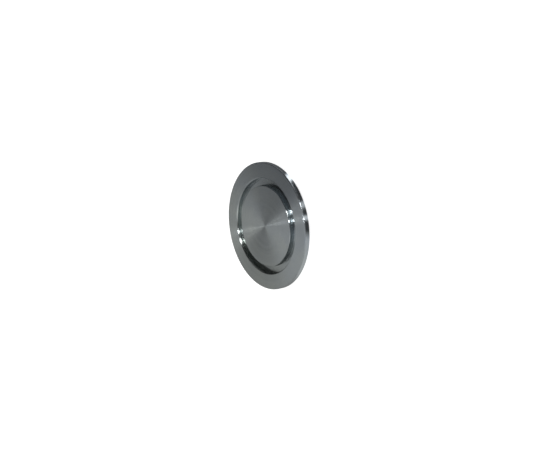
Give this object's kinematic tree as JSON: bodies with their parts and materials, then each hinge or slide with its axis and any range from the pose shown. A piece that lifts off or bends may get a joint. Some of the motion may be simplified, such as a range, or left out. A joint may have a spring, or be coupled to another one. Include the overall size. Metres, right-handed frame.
{
  "type": "vacuum blank flange",
  "caption": "Round turned metal blank flange with a flat sealing ring, an annular centring groove round a level centre boss, and a clamp taper behind the rim.",
  "frame": {"origin": "centre of the flat back face, on which the flange lies", "axes": "+Z along the axis of the disc, out of the sealing face"},
  "size_m": [0.055, 0.055, 0.005],
  "materials": {
    "turned_steel": "fine turned finish with concentric tool marks"
  },
  "bodies": {
    "root": {"blank_flange": "turned_steel"}
  },
  "joints": []
}
